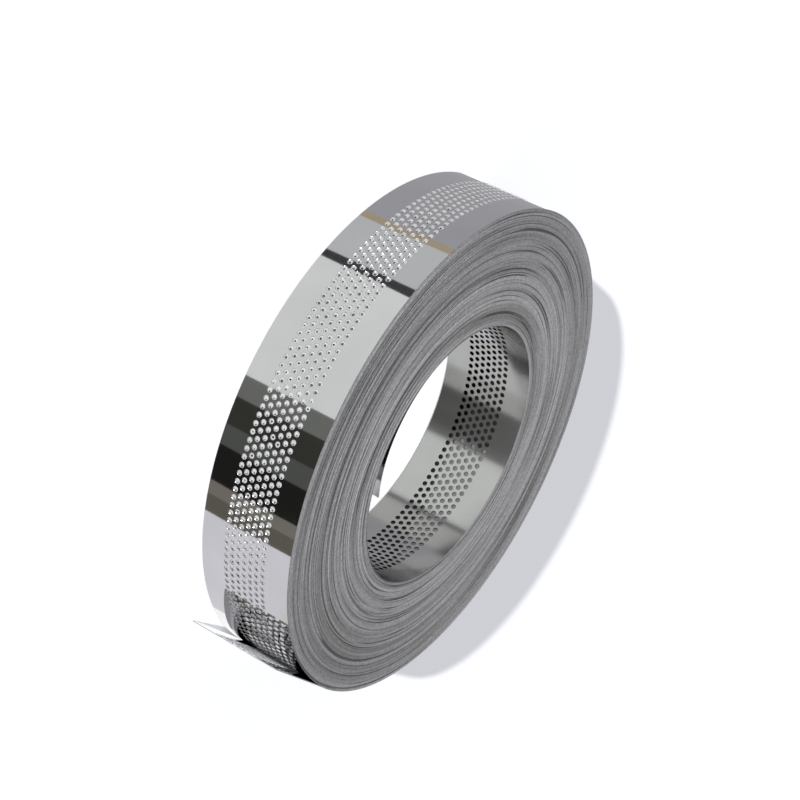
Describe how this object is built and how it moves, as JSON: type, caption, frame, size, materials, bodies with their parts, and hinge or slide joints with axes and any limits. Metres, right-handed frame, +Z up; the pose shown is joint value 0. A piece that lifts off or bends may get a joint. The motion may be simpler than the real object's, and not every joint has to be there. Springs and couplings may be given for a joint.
{
  "type": "coil of perforated metal strip",
  "caption": "Flat coil of narrow bright steel strip with a central band of staggered round holes, standing on one wound end, with an open bore and a free end that springs off the rim.",
  "frame": {"origin": "centre of the bore, halfway across the width of the strip", "axes": "+Z up along the coil's axle, with the coil standing on its lower wound end; the strip's outer free end springs off the rim on the +X side and runs towards -Y"},
  "size_m": [0.2704, 0.26, 0.0508],
  "materials": {
    "bright_steel": "bright annealed stainless steel, close to a mirror on the rolled faces, matt grey where the slit edges of the turns show"
  },
  "bodies": {
    "root": {"strip_coil": "bright_steel"}
  },
  "joints": []
}
